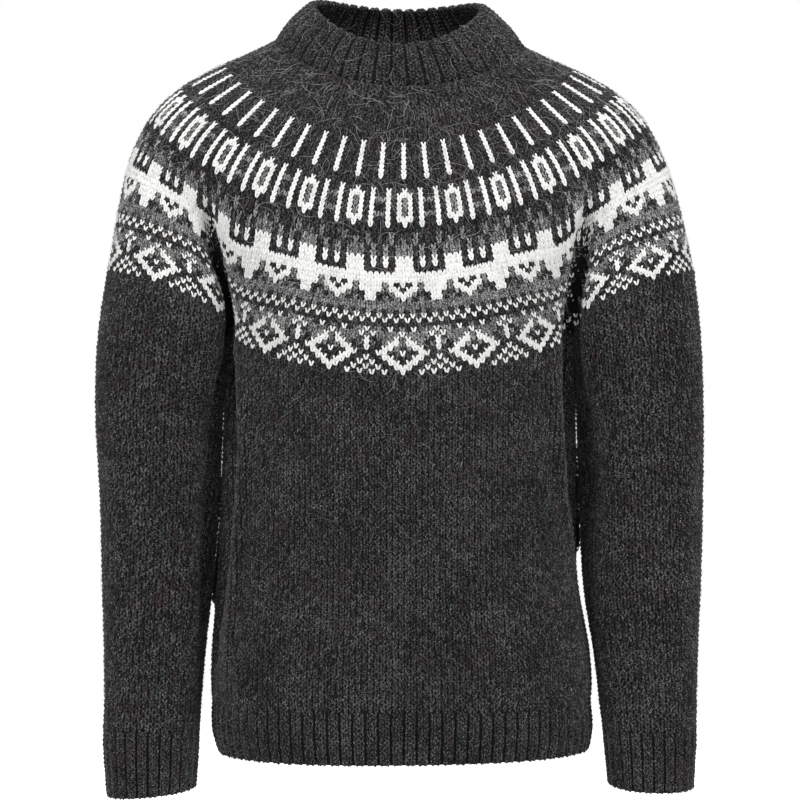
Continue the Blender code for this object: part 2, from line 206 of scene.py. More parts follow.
def sleeve_section(side, angle, down):
    """Outer surface of a sleeve. Angle 0 faces away from the body, -90 degrees the front."""
    table = SLEEVE_RIGHT if side > 0 else SLEEVE_LEFT
    across, along = np.cos(angle), np.sin(angle)
    n = SLEEVE_SQUARENESS
    reach = (np.abs(across / read(table, "width", down)) ** n
             + np.abs(along / read(table, "depth", down)) ** n) ** (-1 / n)
    x = read(table, "across", down) + reach * across
    y = read(table, "along", down) + reach * along
    below = (down - ARMPIT_DOWN) / UNDERARM_EASE
    clearance = UNDERARM_CLEARANCE + (SLEEVE_CLEARANCE - UNDERARM_CLEARANCE) * eased(below)
    side_of_body = body_side_at(side, y, down) + clearance
    free = x - side_of_body
    x = side_of_body + (free + np.sqrt(free ** 2 + SLEEVE_BEND ** 2)) / 2
    return np.stack([side * x, y, -down + 0 * x], axis=-1)


def body_corner_angle(side, y):
    return math.atan2(y, side * float(body_side_at(side, y, ARMPIT_DOWN)))


def sleeve_corner_angle(side, y):
    table = SLEEVE_RIGHT if side > 0 else SLEEVE_LEFT
    x = float(body_side_at(side, y, ARMPIT_DOWN)) - float(read(table, "across", ARMPIT_DOWN))
    return math.atan2(y - float(read(table, "along", ARMPIT_DOWN)), x)


def spread(points, count):
    """Shares that space a dense line of points evenly by length, ends included."""
    steps = np.linalg.norm(np.diff(points, axis=0), axis=1)
    length = np.concatenate([[0], np.cumsum(steps)]) / steps.sum()
    return np.interp(np.linspace(0, 1, count + 1), length, np.linspace(0, 1, len(points)))


def even_arc(section, start, end, count):
    """Plan angles that divide an arc of a section evenly by length."""
    line = section(np.linspace(start, end, ARC_POINTS))
    return start + (end - start) * spread(line, count)


def body_edge_down(share, centre_down):
    from_centre = np.abs(2 * share - 1)
    return centre_down + (ARMPIT_DOWN - centre_down) * from_centre ** BODY_RISE


def sleeve_edge_down(share):
    from_corner = 1 - np.abs(2 * share - 1)
    rise = 1 - (1 - from_corner) ** SLEEVE_RISE
    return ARMPIT_DOWN + (YOKE_SLEEVE_DOWN - ARMPIT_DOWN) * rise


def underarm_down(share):
    return ARMPIT_DOWN + UNDERARM_SAG * np.sin(math.pi * share)


def body_angles(side, y):
    """From the armpit's corner on one side to the other, across the front or the back."""
    return even_arc(lambda turn: body_section(turn, ARMPIT_DOWN + ARC_LEVEL),
                    body_corner_angle(side, y), body_corner_angle(-side, y), FRONT_FACETS)


def shoulder_angles(side):
    return even_arc(lambda turn: sleeve_section(side, turn, ARMPIT_DOWN - ARC_LEVEL),
                    sleeve_corner_angle(side, ARMPIT_FRONT),
                    sleeve_corner_angle(side, ARMPIT_BACK), SHOULDER_FACETS)


BODY_ANGLES = body_angles(-1, ARMPIT_FRONT), body_angles(1, ARMPIT_BACK)
SHOULDER_ANGLES = {side: shoulder_angles(side) for side, _ in SIDES}


def shares(count):
    return np.linspace(0, 1, count + 1)


def yoke_edge():
    """Lower edge of the yoke, anticlockwise from the left armpit's front corner."""
    across = shares(FRONT_FACETS)[:-1]
    over = sleeve_edge_down(shares(SHOULDER_FACETS)[:-1])
    front = body_section(BODY_ANGLES[0][:-1], body_edge_down(across, YOKE_FRONT_DOWN))
    back = body_section(BODY_ANGLES[1][:-1], body_edge_down(across, YOKE_BACK_DOWN))
    right = sleeve_section(1, SHOULDER_ANGLES[1][:-1], over)
    left = sleeve_section(-1, SHOULDER_ANGLES[-1][::-1][:-1], over)
    return np.concatenate([front, right, back, left])


def oval(shape, angle):
    """A tilted oval, as the neck opening and the top of the collar are."""
    across, along = np.cos(angle), np.sin(angle)
    middle_y = (shape.front + shape.back) / 2
    half_depth = (shape.back - shape.front) / 2
    tilt = (shape.back_z - shape.front_z) / 2
    lean = (shape.right_z - shape.left_z) / 2
    middle_z = (shape.back_z + shape.front_z) / 2
    side_z = (shape.left_z + shape.right_z) / 2
    saddle = (side_z - middle_z) / 2 * np.cos(2 * angle)
    height = (middle_z + side_z) / 2 + tilt * along + lean * across + saddle
    return np.stack([shape.middle + shape.half_width * across,
                     middle_y + half_depth * along, height], axis=-1)


def yoke_turns(edge):
    """Plan angle of each column of the yoke, by its share of the way round the ring."""
    closed = np.concatenate([edge, edge[:1]])
    length = np.concatenate([[0], np.cumsum(np.linalg.norm(np.diff(closed, axis=0), axis=1))])
    front_centre = length[FRONT_FACETS // 2]
    right_middle = length[FRONT_FACETS + SHOULDER_FACETS // 2]
    back_centre = length[FRONT_FACETS + SHOULDER_FACETS + FRONT_FACETS // 2]
    left_middle = length[2 * FRONT_FACETS + SHOULDER_FACETS + SHOULDER_FACETS // 2]
    total = length[-1]
    knots = [left_middle - total, front_centre, right_middle, back_centre, left_middle,
             front_centre + total]
    quarters = [-1.0, -0.5, 0.0, 0.5, 1.0, 1.5]
    return math.pi * np.interp(length[:-1], knots, quarters)


YOKE_EDGE = yoke_edge()
YOKE_TURNS = yoke_turns(YOKE_EDGE)


def yoke_ring(share):
    """One ring of the yoke. The share, 0 at the neck and 1 at the lower edge, may vary round it."""
    share = share + 0 * YOKE_TURNS
    neck = oval(NECK, YOKE_TURNS)
    crease = eased((share - CREASE_START) / (1 - CREASE_START))[:, None]
    goal = oval(SHOULDER_OVAL, YOKE_TURNS) * (1 - crease) + YOKE_EDGE * crease
    side = np.cos(YOKE_TURNS) ** 2
    back = np.sin(YOKE_TURNS) > 0
    out, down = (side * read(YOKE_FALL, "side_" + way, share) + (1 - side) * np.where(
        back, read(YOKE_FALL, "back_" + way, share), read(YOKE_FALL, "front_" + way, share))
        for way in ("out", "down"))
    plan = neck[:, :2] + (goal[:, :2] - neck[:, :2]) * out[:, None]
    height = neck[:, 2] + (goal[:, 2] - neck[:, 2]) * down
    return np.concatenate([plan, height[:, None]], axis=1)


def body_ring(share):
    """One ring of the body, share 0 along the yoke's edge and 1 at the hem rib.

    It starts at the middle of the front, as the other rings do.
    """
    front_share = shares(FRONT_FACETS)
    under_share = shares(UNDERARM_FACETS)[1:-1]
    front, back = BODY_ANGLES
    right = np.linspace(front[-1], back[0], UNDERARM_FACETS + 1)[1:-1]
    left = np.linspace(back[-1], front[0] + 2 * math.pi, UNDERARM_FACETS + 1)[1:-1]
    angles = np.concatenate([front, right, back, left])
    top = np.concatenate([
        body_edge_down(front_share, YOKE_FRONT_DOWN), underarm_down(under_share),
        body_edge_down(front_share, YOKE_BACK_DOWN), underarm_down(under_share)])
    return body_section(angles, top + (HEM_TOP_DOWN - top) * share)


def sleeve_ring(side, share):
    """One ring of a sleeve, anticlockwise seen from above, from the armpit's front corner."""
    outer = SHOULDER_ANGLES[side]
    under = np.linspace(outer[-1], outer[0] + 2 * math.pi, UNDERARM_FACETS + 1)[1:-1]
    angles = np.concatenate([outer, under])
    top = np.concatenate([sleeve_edge_down(shares(SHOULDER_FACETS)),
                          underarm_down(shares(UNDERARM_FACETS)[1:-1])])
    ring = sleeve_section(side, angles, top + (CUFF_TOP_DOWN - top) * share)
    return ring if side > 0 else ring[::-1]


# The folds at the armholes and the other creases of the cloth. Each runs along a line of points
# x, y, z, width and height, where a positive height is a ridge and a negative one a trough.
FOLDS = (
    # from the front of the left armhole down the side of the body
    ((-186, -79, -122, 7, 0), (-182, -78, -141, 8, -4), (-173, -59, -199, 9, -10),
     (-168, -51, -226, 9, -12), (-164, -48, -254, 10, -12), (-163, -46, -286, 10, -12),
     (-162, -52, -307, 11, -12), (-161, -58, -360, 12, -12), (-163, -56, -405, 12, -11),
     (-169, -47, -489, 12, -9), (-172, -44, -508, 11, -8), (-174, -42, -556, 10, -5),
     (-174, -42, -594, 8, 0)),
    # the same at the right, which fades out sooner
    ((180, -78, -112, 7, 0), (176, -78, -132, 8, -5), (167, -74, -171, 8, -10),
     (158, -62, -224, 8, -15), (153, -60, -256, 9, -14), (154, -56, -323, 11, -12),
     (162, -42, -418, 12, -9), (167, -28, -457, 11, -4), (170, -20, -500, 10, 0)),
    # behind the armholes
    ((178, 58, -120, 8, 0), (170, 60, -180, 10, -6), (158, 72, -250, 12, -8),
     (154, 82, -315, 12, -6), (160, 72, -380, 12, -4), (166, 58, -440, 10, 0)),
    ((-184, 56, -130, 8, 0), (-176, 58, -190, 10, -6), (-168, 62, -262, 11, -8),
     (-160, 77, -330, 12, -7), (-163, 72, -420, 12, -5), (-168, 60, -500, 11, 0)),
)
CREASES = FOLDS + (
    # the sharper edges of the body's front beside them
    ((-150, -74, -290, 8, 0), (-150, -80, -315, 8, 5), (-146, -86, -360, 8, 6),
     (-149, -84, -405, 8, 6), (-157, -76, -489, 8, 5), (-161, -72, -556, 8, 3),
     (-163, -70, -600, 8, 0)),
    ((144, -78, -262, 8, 0), (141, -86, -323, 8, 6), (148, -74, -418, 8, 5),
     (157, -50, -457, 8, 2), (162, -40, -500, 8, 0)),
    # the hollows that they face on the sleeves
    ((-190, -56, -275, 10, 0), (-188, -54, -330, 13, -9), (-188, -48, -420, 13, -10),
     (-193, -40, -500, 12, -8), (-199, -38, -560, 11, -5), (-203, -40, -610, 10, 0)),
    ((184, -58, -270, 10, 0), (182, -56, -330, 13, -9), (183, -50, -420, 13, -9),
     (188, -40, -490, 12, -6), (192, -36, -550, 10, 0)),
    # soft folds of the body behind them, which lie close to the sleeves
    ((-164, 30, -370, 9, 0), (-164, 30, -405, 9, 8.5), (-165, 30, -450, 9, 10.5),
     (-167, 30, -480, 9, 13), (-169, 30, -511, 9, 16), (-171, 30, -532, 9, 0)),
    ((155, 30, -340, 9, 0), (155, 30, -368, 9, 8.5), (155, 30, -395, 9, 11),
     (155, 30, -430, 9, 12.5), (156, 30, -457, 9, 15), (158, 30, -478, 9, 0)),
)


def near_line(points, crease):
    """How far points are from a crease's line, and its width and height beside them."""
    crease = np.array(crease, float)
    nearest = np.full(len(points), np.inf)
    width, height = np.ones(len(points)), np.zeros(len(points))
    for start, end in zip(crease, crease[1:]):
        line = end[:3] - start[:3]
        at = np.clip((points - start[:3]) @ line / (line @ line), 0, 1)
        away = np.linalg.norm(points - (start[:3] + at[:, None] * line), axis=1)
        closer = away < nearest
        nearest = np.where(closer, away, nearest)
        width = np.where(closer, start[3] + at * (end[3] - start[3]), width)
        height = np.where(closer, start[4] + at * (end[4] - start[4]), height)
    return nearest, width, height


def crease_lift(points):
    """How far the creases move each point out along its normal."""
    lift = np.zeros(len(points))
    for crease in CREASES:
        nearest, width, height = near_line(points, crease)
        lift += height * np.exp(-(nearest / width) ** 2)
    return lift


GATHER = 26.0               # the width over which a fold takes in extra stitches


def by_length(ring, count, first, offset=0.0, extra=0.0):
    """Points spaced evenly by length round a ring, counted from its point number first.

    Each armhole fold takes in a number of extra ones.
    """
    ring = np.roll(ring, -first, axis=0)
    closed = np.concatenate([ring, ring[:1]])
    steps = np.linalg.norm(np.diff(closed, axis=0), axis=1)
    length = np.concatenate([[0], np.cumsum(steps)])
    run = np.linspace(0, length[-1], 1601 if extra else 2)
    taken = (count - len(FOLDS) * extra) * run / length[-1]
    if extra:
        fine = np.stack([np.interp(run, length, closed[:, k]) for k in range(3)], axis=1)
        for fold in FOLDS:
            middle = run[np.argmin(near_line(fine, fold)[0])]
            taken += extra * eased((run - middle) / GATHER + 0.5)
    at = np.interp((np.arange(count) + offset) % count, taken, run)
    return np.stack([np.interp(at, length, closed[:, k]) for k in range(3)], axis=1)


def ring_normals(lower, upper):
    around = np.roll(lower, -1, axis=0) - np.roll(lower, 1, axis=0)
    return unit(np.cross(around, upper - lower))


# Stitches, row by row
Laid = namedtuple("Laid", "place across up out colour tone")


def lay_row(ring, level, half_step, count, first, colour, offset=0.0, extra=0.0):
    """Places and directions of the stitches in one row, with their colours."""
    upper = by_length(ring(level - half_step), count, first, offset, extra)
    lower = by_length(ring(level + half_step), count, first, offset, extra)
    out = ring_normals(lower, upper)
    upper = upper + out * crease_lift(upper)[:, None]
    lower = lower + out * crease_lift(lower)[:, None]
    place = (upper + lower) / 2
    across = (np.roll(place, -1, axis=0) - np.roll(place, 1, axis=0)) / 2
    up = upper - lower
    return Laid(place, across, up, unit(np.cross(across, up)), colour, rng.random(count))


def joined(rows):
    return Laid(*(np.concatenate(parts) for parts in zip(*rows)))


def chosen(laid, mask):
    return Laid(*(part[mask] for part in laid))


rng = np.random.default_rng(11)

# One leg of a stitch, in shares of the stitch's width and height, with its rise in mm.
LEG_FOOT = (0.07, -0.72)
LEG_HEAD = (0.37, 0.64)
LEG_WIDTH = 0.33
LEG_BODY = 0.64            # the share of the leg over which it keeps its width
LEG_RISE = 1.35
LEG_TILT = 0.35
LEG_SUNK = 0.45


def leg_mesh():
    """Points and triangles of one leg: a low six-sided grain round a raised middle."""
    bm = bmesh.new()
    bmesh.ops.create_circle(bm, cap_ends=True, cap_tris=True, segments=6, radius=1)
    bm.verts.index_update()
    points = np.array([vert.co[:] for vert in bm.verts])
    triangles = np.array([[vert.index for vert in face.verts] for face in bm.faces])
    if sum(face.normal.z for face in bm.faces) < 0:
        triangles = triangles[:, ::-1]
    bm.free()
    return points, triangles


def stitch_template():
    """The two legs of a stitch: places across and up in shares, rise in mm, and triangles."""
    points, triangles = leg_mesh()
    x, y = points[:, 0] / math.cos(math.radians(30)), points[:, 1]
    ridge = np.hypot(x, y) < 0.1
    tip = np.abs(y) > 0.9
    wide = np.where(tip, 0.0, x * LEG_WIDTH)
    along = np.where(tip, y, y * 2 * LEG_BODY)
    middle_x = (LEG_FOOT[0] + LEG_HEAD[0]) / 2 + along * (LEG_HEAD[0] - LEG_FOOT[0]) / 2
    middle_y = (LEG_FOOT[1] + LEG_HEAD[1]) / 2 + along * (LEG_HEAD[1] - LEG_FOOT[1]) / 2
    rise = np.where(ridge, LEG_RISE, 0.0) - LEG_TILT * along - LEG_SUNK
    right = np.stack([middle_x + wide / 2, middle_y, rise], axis=1)
    left = right * (-1, 1, 1)
    both = np.concatenate([right, left])
    faces = np.concatenate([triangles, triangles[:, ::-1] + len(points)])
    leg_place = np.stack([x / 2, y], axis=1)
    return both, faces, np.concatenate([leg_place, leg_place])


STITCH, STITCH_FACES, LEG_PLACE = stitch_template()
LOOSENESS = (0.03, 0.04, 0.13)      # how far legs stray across, along and out
YARN_SCALE = (2.0, 2.4)
YARN_REACH = 40                     # each leg begins somewhere within this stretch of the yarn
LEG_TONE = 0.65                     # the share of a leg's tone that its stitch doesn't give


def mesh_of(name, points, triangles):
    """A mesh of many copies of a small one, from the points of each in mm and its triangles."""
    count, size = points.shape[:2]
    faces = triangles[None] + size * np.arange(count)[:, None, None]
    mesh = bpy.data.meshes.new(name)
    mesh.vertices.add(count * size)
    mesh.vertices.foreach_set("co", (points * MM).astype(np.float32).ravel())
    mesh.loops.add(faces.size)
    mesh.loops.foreach_set("vertex_index", faces.astype(np.int32).ravel())
    mesh.polygons.add(faces.size // 3)
    mesh.polygons.foreach_set("loop_start", np.arange(0, faces.size, 3, dtype=np.int32))
    mesh.update(calc_edges=True)
    mesh.shade_smooth()
    return mesh


def in_scene(name, data):
    made = bpy.data.objects.new(name, data)
    bpy.context.scene.collection.objects.link(made)
    return made


def placed(name, mesh, material):
    piece = in_scene(name, mesh)
    mesh.materials.append(material)
    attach(piece, "root")
    return piece


def knitted(name, laid, material, fullness=1.0, jitter=1.0):
    """Joins copies of the stitch, one bent to each place, into a piece."""
    template = STITCH * (1, 1, fullness)
    middle = np.sign(template[:, 0]) * (LEG_FOOT[0] + LEG_HEAD[0]) / 2
    template[:, 0] = middle + (template[:, 0] - middle) * fullness
    leg = len(STITCH) // 2
    loose = rng.normal(0, 1, (len(laid.place), 2, 3)) * LOOSENESS * jitter
    places = template[None] + np.repeat(loose, leg, axis=1)
    tone = (1 - LEG_TONE) * laid.tone[:, None] + LEG_TONE * rng.random((len(laid.place), 2))
    start = np.repeat(rng.random((len(laid.place), 2, 2)) * YARN_REACH, leg, axis=1)
    return copies(name, laid, places, STITCH_FACES, np.repeat(tone, leg, axis=1),
                  start + LEG_PLACE[None] * YARN_SCALE, material)


def copies(name, laid, places, triangles, tone, along, material):
    """One piece of many copies of a small mesh. Places are shares across and up, and mm out."""
    a, b, h = places.transpose(2, 0, 1)
    points = (laid.place[:, None] + a[..., None] * laid.across[:, None]
              + b[..., None] * laid.up[:, None] + h[..., None] * laid.out[:, None])
    mesh = mesh_of(name, points, triangles)
    mesh.attributes.new("tone", "FLOAT", "POINT").data.foreach_set(
        "value", tone.astype(np.float32).ravel())
    corner = triangles.ravel()
    yarn = mesh.uv_layers.new(name="yarn")
    yarn.data.foreach_set("uv", along[:, corner].astype(np.float32).ravel())
    low, high = places.min(axis=(0, 1))[:2], places.max(axis=(0, 1))[:2]
    local = 0.06 + 0.88 * (places[..., :2] - low) / (high - low)
    atlas(mesh, local[:, corner])
    mesh.uv_layers.active = yarn
    return placed(name, mesh, material)


# Where neighbours have one colour, it also fills the gaps between them: the notch under the
# stitch above, and the gap beside the stitch to the right. Shares left, right, low and high.
NOTCH = (-0.30, 0.30, 0.0, 1.0)
BESIDE = (0.25, 0.75, -0.55, 0.6)
GROUND_HEIGHT = -0.3
# painted shade: the ground patches' tone is lowered, as they lie in shade
GROUND_PAINTED_SHADE = -0.8                  # the ground is in shade


def finder(places):
    """Gives the function that finds the nearest of the places to each of some points."""
    tree = KDTree(len(places))
    for index, place in enumerate(places):
        tree.insert(place, index)
    tree.balance()
    return lambda points: np.array([tree.find(point)[1] for point in points])


def ground_fill(name, laid, letter, material):
    """Flat patches of one colour between the neighbours that share it, their tone lowered as
    painted shade.
    """
    nearest = finder(laid.place)
    own = np.flatnonzero(laid.colour == letter)
    parts = []
    for (left, right, low, high), way in ((NOTCH, laid.up), (BESIDE, laid.across)):
        chosen_own = own[laid.colour[nearest(laid.place[own] + way[own])] == letter]
        corners = np.array([(left, low, GROUND_HEIGHT), (right, low, GROUND_HEIGHT),
                            (right, high, GROUND_HEIGHT), (left, high, GROUND_HEIGHT)])
        parts.append((chosen(laid, chosen_own), np.tile(corners, (len(chosen_own), 1, 1))))
    both = joined([part[0] for part in parts])
    places = np.concatenate([part[1] for part in parts])
    count = len(places)
    tone = np.repeat(rng.random((count, 1)) + GROUND_PAINTED_SHADE, 4, axis=1)
    along = rng.random((count, 1, 2)) * YARN_REACH + places[..., :2] * YARN_SCALE
    return copies(name, both, places, np.array([[0, 1, 2], [0, 2, 3]]), tone, along, material)


def atlas(mesh, local):
    """Gives each of many small parts its own cell of the map that textures are baked to."""
    count = len(local)
    cells = math.ceil(math.sqrt(count))
    cell = np.stack([np.arange(count) % cells, np.arange(count) // cells], axis=1)[:, None]
    mesh.uv_layers.new(name="OFBake").data.foreach_set(
        "uv", ((cell + local) / cells).astype(np.float32).ravel())


# Materials
class Value:
    """A socket that can be used in sums, which add Math nodes to its tree."""

    def __init__(self, socket, tree):
        self.socket, self.tree = socket, tree

    def _math(self, operation, first, second=None):
        node = self.tree.nodes.new("ShaderNodeMath")
        node.operation = operation
        for slot, item in zip(node.inputs, (first, second)):
            if isinstance(item, Value):
                self.tree.links.new(item.socket, slot)
            elif item is not None:
                slot.default_value = item
        return Value(node.outputs[0], self.tree)

    def __add__(self, other):
        return self._math("ADD", self, other)

    def __radd__(self, other):
        return self._math("ADD", other, self)

    def __sub__(self, other):
        return self._math("SUBTRACT", self, other)

    def __rsub__(self, other):
        return self._math("SUBTRACT", other, self)

    def __mul__(self, other):
        return self._math("MULTIPLY", self, other)

    def __rmul__(self, other):
        return self._math("MULTIPLY", other, self)

    def clamped(self):
        return self._math("MINIMUM", self._math("MAXIMUM", self, 0.0), 1.0)


class Finish:
    """A material and its node tree."""

    def __init__(self, name):
        self.material = bpy.data.materials.new(name)
        self.material.use_nodes = True
        self.tree = self.material.node_tree
        self.shader = self.tree.nodes["Principled BSDF"]

    def node(self, kind, settings=(), output=0, **sockets):
        """Adds a node: its settings first, then the values or links of its named sockets."""
        node = self.tree.nodes.new("ShaderNode" + kind)
        for name, value in dict(settings).items():
            setattr(node, name, value)
        self.fill(node, **sockets)
        return Value(node.outputs[output], self.tree)

    def fill(self, node, **sockets):
        for name, value in sockets.items():
            self.feed(node.inputs[name.replace("_", " ")], value)

    def feed(self, socket, value):
        if isinstance(value, Value):
            self.tree.links.new(value.socket, socket)
        else:
            socket.default_value = value

    def ramp(self, factor, stops):
        node = self.tree.nodes.new("ShaderNodeValToRGB")
        elements = node.color_ramp.elements
        while len(elements) < len(stops):
            elements.new(0.5)
        for element, (place, colour) in zip(elements, stops):
            element.position = place
            element.color = (*colour, 1)
        self.feed(node.inputs[0], factor)
        return Value(node.outputs[0], self.tree)

    def blend(self, factor, first, second):
        node = self.tree.nodes.new("ShaderNodeMix")
        node.data_type = "RGBA"
        for name, value in (("Factor", factor), ("A", first), ("B", second)):
            slot = next(s for s in node.inputs
                        if s.name == name and s.type == ("VALUE" if name == "Factor" else "RGBA"))
            self.feed(slot, value if isinstance(value, (Value, float)) else (*value, 1))
        return Value(next(s for s in node.outputs if s.type == "RGBA"), self.tree)


FLECK_SCALE = 820         # flecks of the heather, per metre
PATCH_SCALE = 26          # soft patches of tone, per metre
FIBRE_SCALE = 1.3         # fibres of the yarn, on its own map
PATCH_SHARE = 0.24
FIBRE_SHARE = 1.3
TINT_START, TINT_EDGE = 0.52, 6.0


def wool(name, stops, fleck_share, tint=None, tint_share=0.0, bump=0.5, tone_share=0.28):
    """Brushed wool. Its stops are the colours from the darkest fibres to the palest."""
    finish = Finish(name)
    place = finish.node("TexCoord", output=3)
    yarn = finish.node("UVMap", {"uv_map": "yarn"})
    tone = finish.node("Attribute", {"attribute_name": "tone"}, output=2)
    fleck = finish.node("TexNoise", Vector=place, Scale=FLECK_SCALE, Detail=1.0, Roughness=0.6)
    fibre = finish.node("TexNoise", Vector=yarn, Scale=FIBRE_SCALE, Detail=1.5, Roughness=0.7)
    patch = finish.node("TexNoise", Vector=place, Scale=PATCH_SCALE, Detail=2.0)
    mix = tone * tone_share + fleck * fleck_share + fibre * FIBRE_SHARE + patch * PATCH_SHARE
    middle = (tone_share + fleck_share + FIBRE_SHARE + PATCH_SHARE) / 2
    colour = finish.ramp((mix - (middle - 0.5)).clamped(), stops)
    if tint is not None:
        spots = finish.node("TexNoise", Vector=place, Scale=PATCH_SCALE * 2.3, Detail=3.0)
        amount = ((spots - TINT_START) * TINT_EDGE).clamped() * tint_share
        colour = finish.blend(amount, colour, tint)
    normal = finish.node("Bump", Height=fibre * 0.7 + fleck * 0.5, Strength=bump, Distance=0.0006)
    finish.fill(finish.shader, Base_Color=colour, Roughness=0.92, Specular_IOR_Level=0.12,
                Sheen_Weight=0.15, Sheen_Roughness=0.45, Normal=normal)
    return finish.material


CHARCOAL_STOPS = ((0.20, (0.003, 0.003, 0.0035)), (0.44, (0.013, 0.013, 0.014)),
                  (0.62, (0.048, 0.048, 0.050)), (0.86, (0.20, 0.20, 0.20)))
GREY_STOPS = ((0.15, (0.016, 0.016, 0.017)), (0.40, (0.095, 0.095, 0.096)),
              (0.62, (0.28, 0.28, 0.28)), (0.86, (0.62, 0.62, 0.61)))
WHITE_STOPS = ((0.05, (0.46, 0.455, 0.44)), (0.3, (0.74, 0.735, 0.715)),
               (0.6, (0.87, 0.865, 0.85)), (0.9, (0.93, 0.925, 0.91)))
# Painted shade: the ground of the cloth shells is the charcoal yarn made darker than its stitches,
# as it lies in shade under and between them.
PAINTED_SHADE_GROUND_STOPS = ((0.2, (0.003, 0.003, 0.0035)), (0.5, (0.009, 0.009, 0.0095)),
              (0.8, (0.028, 0.028, 0.029)), (1.0, (0.07, 0.07, 0.07)))
RUSSET = (0.050, 0.024, 0.026)

charcoal_wool = wool("charcoal_heather", CHARCOAL_STOPS, 1.4, RUSSET, 0.35)
ribbed_wool = wool("ribbed_heather", CHARCOAL_STOPS, 1.4, RUSSET, 0.35, tone_share=0.16)
grey_wool = wool("grey_heather", GREY_STOPS, 1.3)
white_wool = wool("natural_white", WHITE_STOPS, 0.4, bump=0.3)
# painted shade: the shells' charcoal ground, darker than the stitches
painted_shade_ground_wool = wool("charcoal_ground_painted_shade", PAINTED_SHADE_GROUND_STOPS, 0.6)

# Yoke stitches. Some rows, with the share of the yoke at which each lies at the front and back
# and at the sides, and how much lower it hangs beside the armhole folds.
ROW_KNOTS = (0, 12, 20, 22, 30, 35, 44, 47, 60)
FRONT_LEVELS = (0.0, 0.214, 0.3446, 0.3775, 0.513, 0.6125, 0.7614, 0.803, 1.0)
SIDE_LEVELS = (0.0, 0.172, 0.290, 0.325, 0.480, 0.572, 0.757, 0.808, 1.0)
FOLD_DROPS = (0.0, 0.0, 0.0, 0.0, 0.008, 0.024, 0.028, 0.020, 0.0)
FOLD_SIDE, FOLD_SPREAD = 0.36, 0.11         # where the folds lie, from 0 in front to 1 at the side

# Charts show half a repeat from its middle stitch outwards: W white, g grey.
# The shift is how many stitches a band starts to the right of the middle. Seen is how many of a
# row's stitches show: the others lie deep in the armhole folds.
Band = namedtuple("Band", "first_row repeats repeat shift rows seen", defaults=[None])
BANDS = (
    Band(0, 104, 1, 0, ["."] * 4),
    Band(4, 140, 1, 0, ["."] * 4),
    Band(8, 176, 1, 0, ["."] * 3),
    Band(11, 50, 4, 1.0, ["...", *["W.."] * 8, "..."]),
    Band(21, 26, 9, 1.3, [".....", "W..W.", "WW.W.", "gW.Wg", "gW.W.", "gW.W.", "gW.Wg", "WW.W.",
                          "W..W."]),
    Band(30, 29, 8, 1.0, [".....", "..g..", "g.g..", "gg.g.", "gg.g.", "WW.W.", "WW.W.", "WW..."]),
    Band(38, 26, 11, 0.7, ["WWWWWW", "WWWWWW", "W.WgWW", ".WWgWW", "WWg..W", "Wg.g.W"],
         253),
    Band(44, 26, 12, 0.3, ["ggggggg", "ggggggg", "g.g.g.g", "W.W.W.W", ".W.W.W.", ".......",
                           "g.W.ggW", "WggggWg", "gWggg.W", "gWWg.gW", ".gWW..W", "W..WW..",
                           "..WW..W", ".WW..W.", "WW..W.W", "W..W.W."], 288),
)


def yoke_level(row):
    """The share of the yoke at which a row lies, all the way round it."""
    side = np.cos(YOKE_TURNS) ** 2
    beside_fold = np.exp(-((side - FOLD_SIDE) / FOLD_SPREAD) ** 2)
    return (side * along_curve(ROW_KNOTS, SIDE_LEVELS, row)
            + (1 - side) * along_curve(ROW_KNOTS, FRONT_LEVELS, row)
            + beside_fold * along_curve(ROW_KNOTS, FOLD_DROPS, row))


def charted(chart, repeat, count):
    """The colours of a whole row, from half a repeat. Column 0 is the middle stitch."""
    column = np.arange(count) % repeat
    return np.array(list(chart))[np.minimum(column, repeat - column)]


yoke_rows = []
for band in BANDS:
    for index, chart in enumerate(band.rows):
        count = band.repeats * band.repeat
        extra = (count - band.seen) / len(FOLDS) if band.seen else 0.0
        colour = charted(chart, band.repeat, count)
        yoke_rows.append(lay_row(lambda row: yoke_ring(yoke_level(row)),
                                 band.first_row + index + 0.5, 0.5, count,
                                 FRONT_FACETS // 2, colour, band.shift, extra))
yoke_laid = joined(yoke_rows)
yoke_stitches = [
    knitted(f"yoke_{word}_stitches", chosen(yoke_laid, yoke_laid.colour == letter), material,
            fullness, jitter)
    for letter, word, material, fullness, jitter in (
        (".", "charcoal", charcoal_wool, 1.0, 1.8),
        ("g", "grey", grey_wool, 1.1, 1.5),
        ("W", "white", white_wool, 1.12, 0.8))]
yoke_stitches += [
    ground_fill(f"yoke_{word}_ground", yoke_laid, letter, material)
    for letter, word, material in (("g", "grey", grey_wool), ("W", "white", white_wool))]

# Body and sleeve stitches
BODY_STITCHES = 180
BODY_COURSES = 75
SLEEVE_TOP_STITCHES = 72
SLEEVE_CUFF_STITCHES = 46
SLEEVE_COURSES = 92

body_rows = [lay_row(body_ring, (row + 0.5) / BODY_COURSES, 0.5 / BODY_COURSES, BODY_STITCHES,
                     FRONT_FACETS // 2, np.full(BODY_STITCHES, "."))
             for row in range(BODY_COURSES)]
body_laid = joined(body_rows)
faces_front = body_laid.out[:, 1] < 0
body_stitches = [
    knitted(f"body_{part}_stitches", chosen(body_laid, mask), charcoal_wool,
            1.0, 1.8)
    for part, mask in (("front", faces_front), ("back", ~faces_front))]

sleeve_laid, sleeve_stitches = {}, {}
for side, name in SIDES:
    outer = SHOULDER_FACETS // 2
    first = outer if side > 0 else SHOULDER_FACETS + UNDERARM_FACETS - 1 - outer
    rows = []
    for row in range(SLEEVE_COURSES):
        share = (row + 0.5) / SLEEVE_COURSES
        count = SLEEVE_TOP_STITCHES - 2 * round(
            share * (SLEEVE_TOP_STITCHES - SLEEVE_CUFF_STITCHES) / 2)
        rows.append(lay_row(lambda at: sleeve_ring(side, at), share, 0.5 / SLEEVE_COURSES, count,
                            first, np.full(count, ".")))
    sleeve_laid[name] = joined(rows)
    sleeve_stitches[name] = knitted(f"sleeve_{name}_stitches", sleeve_laid[name], charcoal_wool,
                                    1.0, 1.8)


